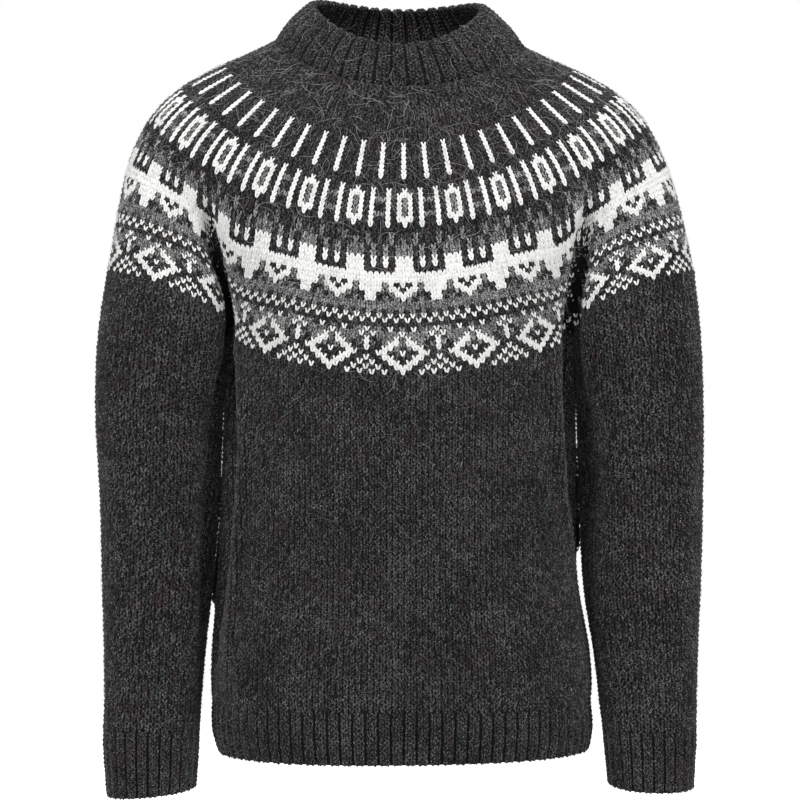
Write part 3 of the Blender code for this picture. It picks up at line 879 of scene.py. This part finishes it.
# Cloth shells under the stitches
def next_ring(bm, ring, edges, points):
    """Extrudes a ring of edges to new points, which follow the ring's own order."""
    made = bmesh.ops.extrude_edge_only(bm, edges=edges)["geom"]
    new_verts = {item for item in made if isinstance(item, bmesh.types.BMVert)}
    new_edges = [item for item in made if isinstance(item, bmesh.types.BMEdge)]
    ring = [next(edge.other_vert(vert) for edge in vert.link_edges
                 if edge.other_vert(vert) in new_verts) for vert in ring]
    for vert, point in zip(ring, points):
        vert.co = point * MM
    return ring, new_edges


def closed_wall(name, outer, inner, material, node):
    """Outer rings from the top down and inner rings back up, joined into one closed wall."""
    rings = list(outer) + list(inner[::-1])
    bm = bmesh.new()
    ring = [bm.verts.new(point * MM) for point in rings[0]]
    first = [bm.edges.new(pair) for pair in zip(ring, ring[1:] + ring[:1])]
    last = first
    for points in rings[1:]:
        ring, last = next_ring(bm, ring, last, points)
    bmesh.ops.bridge_loops(bm, edges=first + last)
    bmesh.ops.recalc_face_normals(bm, faces=bm.faces)
    mesh = bpy.data.meshes.new(name)
    bm.to_mesh(mesh)
    bm.free()
    mesh.shade_smooth()
    piece = placed(name, mesh, material)
    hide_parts(node)
    return piece


def grid_normals(grid):
    around = np.roll(grid, -1, axis=1) - np.roll(grid, 1, axis=1)
    return unit(np.cross(around, -np.gradient(grid, axis=0)))


SHELL_DEPTH = 0.75          # the shell's outer face lies this far under the knitted surface


def shell(name, ring, levels, columns, first, material, node):
    grid = np.stack([by_length(ring(level), columns, first) for level in levels])
    normal = grid_normals(grid)
    lift = np.stack([crease_lift(row) for row in grid])[..., None]
    outer = grid + normal * (lift - SHELL_DEPTH)
    inner = grid + normal * (lift - CLOTH)
    return closed_wall(name, outer, inner, material, node)


yoke_shell = shell("yoke_cloth", yoke_ring, np.linspace(0, 1, 43), 312, FRONT_FACETS // 2,
                   painted_shade_ground_wool, "yoke")
body_shell = shell("body_cloth", body_ring, np.linspace(0, 1, 31), 224, FRONT_FACETS // 2,
                   painted_shade_ground_wool, "body")
for side, name in SIDES:
    shell(f"sleeve_{name}_cloth", lambda at: sleeve_ring(side, at),
                                np.linspace(0, 1, 31), 72, 0, painted_shade_ground_wool, f"sleeve_{name}")


# Ribs: a shell with rounded ridges, and two columns of stitches on each ridge
RIB_POINTS = 4              # points across one rib of the shell
RIB_LEVELS = 12             # rings of points from the top of a band to its edge
RIB_COURSE = 4.0
RIB_FILL = 0.96             # how much of half a rib a column of stitches fills
RIB_SLOPE = 0.35            # how far the columns turn away from each other
RIB_LIFT = 0.3              # the share of a rib's height at which they lie
RIB_LEAN = 0.06             # how far they lean to the next ridge
RIB_SUNK = 0.35
# painted light: how much paler the stitches on the collar's inside are painted, as little light
# falls there
INSIDE_PAINTED_LIGHT = 0.9


def rib_profile(count):
    """Height of the shell round the ribs, from -1 in the purl valleys to 1 on the ridges."""
    turn = np.arange(count * RIB_POINTS) / RIB_POINTS % 1.0
    wave = np.cos(2 * math.pi * turn)
    return np.sign(wave) * np.abs(wave) ** 0.6


def ribbing(name, grid, ribs, heights, node, inside=0.0):
    """Rings of points run from the top down, RIB_POINTS to each rib, with a ridge at the first.

    Where the rings begin inside and fold over, that share of them is of stitches painted paler, a
    painted light, as little light falls there, and the wall needs no other inner face.
    """
    normal = grid_normals(grid)
    heights = np.asarray(heights)[:, None, None]
    profile = rib_profile(ribs)[None, :, None]
    outer = grid + normal * (profile * heights / 2 - SHELL_DEPTH)
    inner = [] if inside else grid - normal * CLOTH
    cloth = closed_wall(name + "_cloth", outer, inner, painted_shade_ground_wool, node)
    raised = grid + normal * heights * RIB_LIFT
    columns = raised[:, 1::2]
    ridge = raised[:, ::RIB_POINTS].repeat(2, axis=1)
    columns = columns + (np.roll(ridge, -1, axis=1) - columns) * RIB_LEAN
    steps = np.linalg.norm(np.diff(columns, axis=0), axis=2).mean(axis=1)
    run = np.concatenate([[0], np.cumsum(steps)])
    courses = max(2, round(run[-1] / RIB_COURSE))
    turned = np.tile([-RIB_SLOPE, RIB_SLOPE], ribs)[:, None]
    rows = []
    for course in range(courses):
        ends = []
        for at in (course / courses * run[-1], (course + 1) / courses * run[-1]):
            k = min(int(np.searchsorted(run, at, side="right")) - 1, len(run) - 2)
            t = (at - run[k]) / (run[k + 1] - run[k])
            ends.append(columns[k] * (1 - t) + columns[k + 1] * t)
        place, up = (ends[0] + ends[1]) / 2, ends[0] - ends[1]
        across = (np.roll(place, -1, axis=0) - np.roll(place, 1, axis=0)) / 2 * RIB_FILL
        facing = unit(np.cross(across, up))
        width = np.linalg.norm(across, axis=1, keepdims=True)
        across = np.cos(turned) * across + np.sin(turned) * width * facing
        facing = unit(np.cross(across, up))
        # painted light: the inside stitches are made paler, fading out over the inside share
        painted_light = INSIDE_PAINTED_LIGHT * max(0.0, 1 - course / courses / inside) if inside else 0.0
        rows.append(Laid(place - facing * RIB_SUNK, across, up, facing,
                         np.full(2 * ribs, "."), rng.random(2 * ribs) + painted_light))
    laid = joined(rows)
    stitches = knitted(name + "_stitches", laid, ribbed_wool, 1.05, 1.3)
    return cloth, stitches, laid


def band_rings(section, top, ribs, low_edge):
    """Rings of a ribbed band, from its top to its low edge, which changes with the angle."""
    angles = even_arc(lambda turn: section(turn, top), 0, 2 * math.pi, ribs * RIB_POINTS)[:-1]
    down = low_edge(angles) - top
    return np.stack([section(angles, top + down * s) for s in np.linspace(0, 1, RIB_LEVELS)])


def hem_edge(angles):
    along = np.sin(angles)
    reach = np.sign(along) * np.abs(along) ** HEM_FLATNESS
    return ((HEM_FRONT_DOWN + HEM_BACK_DOWN) / 2 + HEM_LEAN * (1 - np.cos(angles))
            - (HEM_FRONT_DOWN - HEM_BACK_DOWN) / 2 * reach)


def cuff_rings(side):
    rings = band_rings(lambda turn, down: sleeve_section(side, turn, down), CUFF_TOP_DOWN,
                       CUFF_RIBS, lambda turn: (CUFF_DOWN[side]
                                                + CUFF_OUTER_DROP[side] * np.cos(turn)
                                                - CUFF_FRONT_DROP[side] * np.sin(turn)))
    return rings if side > 0 else np.roll(rings[:, ::-1], 1, axis=1)


# The ribs of the hem and cuffs begin low at the top and rise to their full height.
BAND_HEIGHTS = RIB_HEIGHT * (0.25 + 0.75 * eased(np.linspace(0, 1, RIB_LEVELS) / 0.2))
hem_cloth, hem_stitches, _ = ribbing(
    "hem", band_rings(body_section, HEM_TOP_DOWN, HEM_RIBS, hem_edge), HEM_RIBS, BAND_HEIGHTS,
    "hem_rib")
for side, name in SIDES:
    ribbing(f"cuff_{name}", cuff_rings(side), CUFF_RIBS, BAND_HEIGHTS,
                          f"cuff_{name}")


def collar_path(count):
    """Rings of the folded collar, from its inner edge up, over the fold and down outside."""
    angles = np.linspace(0, 2 * math.pi, count, endpoint=False)
    base, top = oval(NECK, angles), oval(COLLAR_TOP, angles)
    levels = np.linspace(0.95, 0, RIB_LEVELS)
    outer = np.stack([base + (top - base) * s for s in levels])
    normal = grid_normals(outer)
    outer = outer + normal * (COLLAR_SWELL * np.sin(math.pi * levels))[:, None, None]
    inner = outer - normal * FOLDED_CLOTH
    rise = unit(outer[0] - outer[1])
    middle = outer[0] - normal[0] * FOLDED_CLOTH / 2
    turns = np.radians([144, 108, 72, 36])
    fold = np.stack([middle + FOLDED_CLOTH / 2 * (math.cos(t) * normal[0] + math.sin(t) * rise)
                     for t in turns])
    return np.concatenate([inner[::-1][1:], fold, outer])


collar_grid = collar_path(COLLAR_RIBS * RIB_POINTS)
collar_heights = np.concatenate([
    np.full(RIB_LEVELS - 1, COLLAR_RIB_HEIGHT * 0.6), np.full(4, COLLAR_RIB_HEIGHT * 0.8),
    COLLAR_RIB_HEIGHT * (0.2 + 0.8 * eased(np.linspace(1, 0, RIB_LEVELS) / 0.25))])
collar_cloth, collar_stitches, collar_laid = ribbing(
    "collar", collar_grid, COLLAR_RIBS, collar_heights, "collar", 0.45)


# Stray hairs and short fuzz, which lie over the stitches
def fibres(name, laid, count, steps, length, thickness, heights, curl, material, slot):
    """Loose fibres that wander over the knitted surface, as thin three-sided tubes.

    The length is a range in mm. The heights are how far above the stitches a fibre runs at its
    start, middle and end.
    """
    nearest = finder(laid.place)
    near = rng.integers(0, len(laid.place), count)
    place = laid.place[near] + laid.across[near] * rng.uniform(-0.5, 0.5, (count, 1))
    turn = rng.uniform(0, 2 * math.pi, (count, 1))
    across = unit(laid.across[near])
    heading = np.cos(turn) * across + np.sin(turn) * np.cross(laid.out[near], across)
    step = rng.uniform(*length, (count, 1)) / steps
    bend = rng.normal(0, curl, (count, 1))
    reach = rng.uniform(0.5, 1.4, (count, 1))
    line = []
    for k in range(steps + 1):
        out = laid.out[near]
        t = k / steps
        height = np.interp(t, (0, 0.5, 1), heights) * reach
        rise = ((place - laid.place[near]) * out).sum(axis=1, keepdims=True)
        line.append(place + (height - rise) * out)
        heading = unit(heading - (heading * out).sum(axis=1, keepdims=True) * out)
        bend += rng.normal(0, curl * 0.45, (count, 1))
        heading = np.cos(bend * step) * heading + np.sin(bend * step) * np.cross(out, heading)
        place = line[-1] + heading * step
        near = nearest(place)
    line = np.stack(line, axis=1)
    along = np.gradient(line, axis=1)
    side = np.cross(along, laid.out[near][:, None])
    side /= np.linalg.norm(side, axis=2, keepdims=True) + 1e-9
    up = np.cross(side, along)
    up /= np.linalg.norm(up, axis=2, keepdims=True) + 1e-9
    taper = np.interp(np.linspace(0, 1, steps + 1), (0, 0.2, 0.7, 1), (0.5, 1, 1, 0.3))
    rings = [line + thickness / 2 * taper[None, :, None] * (math.cos(a) * side + math.sin(a) * up)
             for a in (math.pi / 2, math.pi * 7 / 6, math.pi * 11 / 6)]
    points = np.stack(rings, axis=2).reshape(count, -1, 3)
    edges = [(3 * k + s, 3 * k + (s + 1) % 3) for k in range(steps) for s in range(3)]
    strip = np.array([face for a, b in edges for face in ((a, a + 3, b), (b, a + 3, b + 3))])
    mesh = mesh_of(name, points, strip)
    grid = np.stack(np.meshgrid(np.linspace(0.1, 0.9, steps + 1), [0.2, 0.5, 0.8],
                                indexing="ij"), axis=-1).reshape(-1, 2)
    atlas(mesh, np.repeat(grid[None], count, axis=0)[:, strip.ravel()])
    return placed(name, mesh, material)


def fibre(name, shade):
    finish = Finish(name)
    finish.fill(finish.shader, Base_Color=(*shade, 1), Roughness=0.8)
    return finish.material


pale_fibre = fibre("pale_fibre", (0.50, 0.50, 0.49))
grey_fibre = fibre("grey_fibre", (0.20, 0.20, 0.20))
dull_fibre = fibre("dull_fibre", (0.10, 0.10, 0.101))
pale_laid = chosen(yoke_laid, yoke_laid.colour == "W")
dark_laid = chosen(yoke_laid, yoke_laid.colour != "W")
LONG = dict(steps=9, length=(8, 34), heights=(0.2, 1.4, 0.9), curl=0.045)
FUZZ = dict(steps=2, length=(2.5, 6.5), heights=(0.4, 1.3, 2.0), curl=0.15)


def layers(slot, kinds):
    """Layers of fibres: a name, where they lie, how many, how thick, a material and a kind."""
    return [fibres(name, laid, count, thickness=thickness, material=material, slot=slot, **kind)
            for name, laid, count, thickness, material, kind in kinds]


yoke_strays = layers("patterned_wool", (
    ("yoke_strays", yoke_laid, 1900, 0.23, pale_fibre, LONG),
    ("yoke_fuzz", dark_laid, 3600, 0.2, grey_fibre, FUZZ),
    ("yoke_white_fuzz", pale_laid, 1500, 0.2, pale_fibre, FUZZ)))
body_strays = layers("charcoal_wool", (
    ("body_strays", body_laid, 420, 0.21, grey_fibre, LONG),
    ("body_fuzz", body_laid, 3600, 0.2, dull_fibre, FUZZ)))
for name, laid in sleeve_laid.items():
    layers("charcoal_wool", (
        (f"sleeve_{name}_strays", laid, 170, 0.21, grey_fibre, LONG),
        (f"sleeve_{name}_fuzz", laid, 1400, 0.2, dull_fibre, FUZZ)))
collar_strays = layers("ribbed_wool", (
    ("collar_strays", collar_laid, 90, 0.2, pale_fibre, LONG),))


# Floor, light and camera
def floor():
    bm = bmesh.new()
    bmesh.ops.create_circle(bm, cap_ends=True, segments=96, radius=3.5)
    mesh = bpy.data.meshes.new("floor")
    bm.to_mesh(mesh)
    bm.free()
    piece = in_scene("floor", mesh)
    piece.location = (0, 0, -0.95)
    finish = Finish("floor_paper")
    glow = finish.blend(finish.node("LightPath"), (0.0, 0.0, 0.0), (1.0, 1.0, 1.0))
    finish.fill(finish.shader, Base_Color=(0.9, 0.9, 0.9, 1), Roughness=0.8,
                Emission_Color=glow, Emission_Strength=0.75)
    mesh.materials.append(finish.material)


def lamp(name, place, target, size, power):
    light = bpy.data.lights.new(name, "AREA")
    light.shape = "RECTANGLE"
    light.size, light.size_y = size
    light.energy = power
    lamp_object = in_scene(name, light)
    lamp_object.location = place
    direction = Vector(target) - Vector(place)
    lamp_object.rotation_euler = direction.to_track_quat("-Z", "Y").to_euler()


floor()
for side, name in SIDES:
    lamp(f"side_{name}", (side * 3.1, -0.9, 0.9), (0, 0, -0.3), (1.2, 2.0), 6)
for side, name in SIDES:
    lamp(f"front_{name}", (side * 1.9, -2.0, 2.1), (0, 0, -0.1), (0.9, 0.9), 74)
lamp("front", (0, -2.2, 2.6), (0, 0, 0), (0.9, 0.9), 26)
lamp("back", (0, 2.6, 1.6), (0, 0, -0.3), (2.0, 1.4), 32)
world = bpy.data.worlds.new("studio")
world.use_nodes = True
nodes, links = world.node_tree.nodes, world.node_tree.links
seen = nodes.new("ShaderNodeLightPath")
strength = nodes.new("ShaderNodeMapRange")
strength.inputs["To Min"].default_value = 0.08      # what lights the garment
strength.inputs["To Max"].default_value = 1.0       # what the camera sees
links.new(seen.outputs["Is Camera Ray"], strength.inputs["Value"])
links.new(strength.outputs["Result"], nodes["Background"].inputs["Strength"])
nodes["Background"].inputs["Color"].default_value = (1, 1, 1, 1)
bpy.context.scene.world = world
bpy.context.scene.view_settings.view_transform = "Standard"

camera = in_scene("camera", bpy.data.cameras.new("camera"))
camera.data.sensor_width = 36
camera.data.lens = 142.1
camera.location = (-0.00285, -3.0, -0.323)
camera.rotation_euler = (math.pi / 2, 0, 0)
bpy.context.scene.camera = camera
